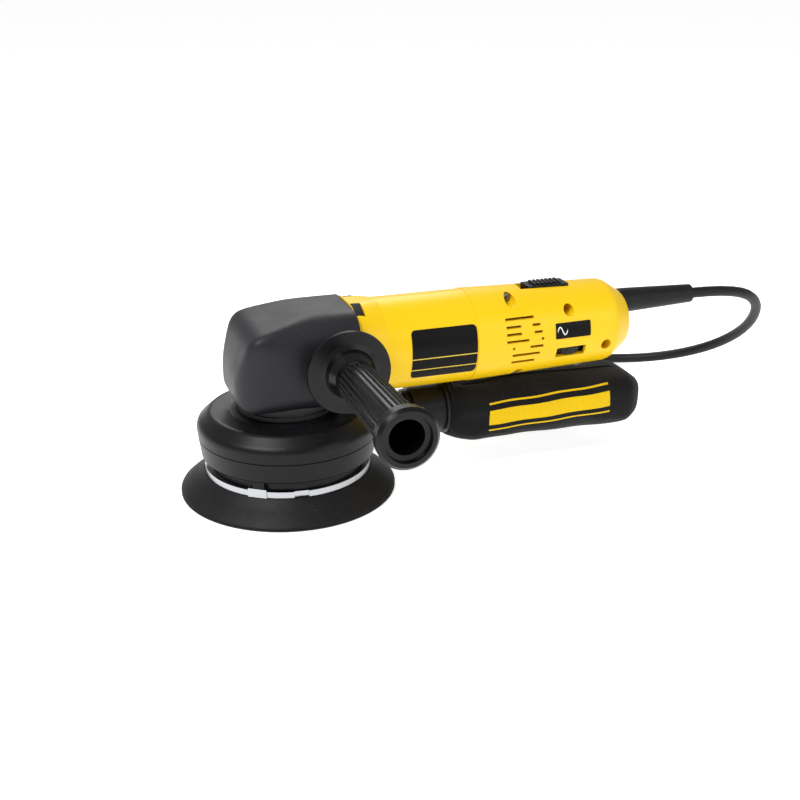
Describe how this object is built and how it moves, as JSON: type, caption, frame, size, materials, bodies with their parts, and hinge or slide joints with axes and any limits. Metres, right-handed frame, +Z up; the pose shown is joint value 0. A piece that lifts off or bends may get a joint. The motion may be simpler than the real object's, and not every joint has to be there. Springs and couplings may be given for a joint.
{
  "type": "dual action polisher",
  "caption": "Right-angle two-hand orbital polisher with a backing pad on an eccentric spindle, side handle, dust bag, slide switch, speed dial and mains cord.",
  "frame": {"origin": "where the output spindle's axis meets the pad's working face", "axes": "+Z up along the output spindle's axis, +X back along the motor towards the cord, -Y towards the side handle"},
  "size_m": [0.481, 0.35, 0.1314],
  "materials": {
    "yellow_plastic": "semi-gloss moulded case",
    "black_plastic": "satin moulded",
    "black_rubber": "matte moulded rubber",
    "pad_foam": "fine-pored moulded foam",
    "hook": "hook-and-loop face",
    "bright_steel": "turned",
    "dark_steel": "blackened",
    "cast_alloy": "die-cast",
    "laminations": "stacked sheet",
    "copper": "enamelled wire",
    "brass": "bright",
    "bronze": "sintered",
    "carbon": "dull",
    "grey_plastic": "moulded",
    "label": "printed film",
    "bag_cloth": "woven",
    "cord_rubber": "satin"
  },
  "bodies": {
    "housing": {"gear_case": "cast_alloy", "rubber_boot": "black_rubber", "bearing_plate": "black_plastic", "bearing_plate_screws": "dark_steel", "spindle_bush": "bronze", "shroud_upper": "black_plastic", "shroud_lower": "black_plastic", "brake_ring": "black_rubber", "exhaust_port": "black_plastic", "motor_case": "yellow_plastic", "motor_case_screws": "dark_steel", "rear_housing_near": "yellow_plastic", "rear_housing_far": "yellow_plastic", "rear_housing_screws": "dark_steel", "stator_core": "laminations", "stator_windings": "copper", "fan_baffle": "grey_plastic", "brush_holder_near": "brass", "brush_holder_far": "brass", "carbon_brush_near": "carbon", "carbon_brush_far": "carbon", "front_bearing_outer": "bright_steel", "rear_bearing_outer": "bright_steel", "spindle_bearing_outer": "bright_steel", "switch_block": "grey_plastic", "speed_module": "grey_plastic", "front_label": "label", "rear_label": "label", "handle_grip": "black_plastic", "handle_stud": "bright_steel", "cord_guard": "black_rubber", "cord": "cord_rubber", "cord_coil": "cord_rubber", "cord_tail": "cord_rubber", "plug_body": "cord_rubber", "plug_blades": "brass"},
    "armature": {"armature_shaft": "bright_steel", "armature_core": "laminations", "armature_windings": "copper", "commutator": "copper", "cooling_fan": "grey_plastic", "bevel_pinion": "dark_steel", "front_bearing_inner": "bright_steel", "rear_bearing_inner": "bright_steel"},
    "spindle": {"spindle": "bright_steel", "bevel_gear": "dark_steel", "spindle_bearing_inner": "bright_steel", "counterweight": "dark_steel", "dust_fan": "grey_plastic", "pad_bearing_outer": "bright_steel"},
    "pad": {"pad_arbor": "bright_steel", "pad_plate": "bright_steel", "pad_foam": "pad_foam", "hook_face": "hook", "pad_screws": "dark_steel", "pad_bearing_inner": "bright_steel"},
    "switch": {"switch_button": "black_plastic"},
    "dial": {"speed_dial": "black_plastic"},
    "bag": {"dust_bag": "bag_cloth", "bag_cuff": "black_rubber"}
  },
  "joints": [
    {"name": "armature_spin", "type": "hinge", "parent": "housing", "child": "armature", "pos_m": [0.1, 0, 0.098], "axis": [1, 0, 0], "continuous": true},
    {"name": "spindle_spin", "type": "hinge", "parent": "housing", "child": "spindle", "pos_m": [0, 0, 0.06], "axis": [0, 0, 1], "continuous": true},
    {"name": "pad_spin", "type": "hinge", "parent": "spindle", "child": "pad", "pos_m": [0, 0.0024, 0.03], "axis": [0, 0, 1], "continuous": true},
    {"name": "switch_slide", "type": "slide", "parent": "housing", "child": "switch", "axis": [-1, 0, 0], "range_m": [0, 0.006]},
    {"name": "speed_dial_turn", "type": "hinge", "parent": "housing", "child": "dial", "pos_m": [0.2005, -0.01595, 0.09156], "axis": [0, 0.3746, -0.9272], "range_deg": [0, 270]},
    {"name": "dust_bag_pull", "type": "slide", "parent": "housing", "child": "bag", "axis": [1, 0, 0], "range_m": [0, 0.03]}
  ],
  "couplings": [
    {"joint": "spindle_spin", "follows": "armature_spin", "ratio": 0.26829}
  ]
}
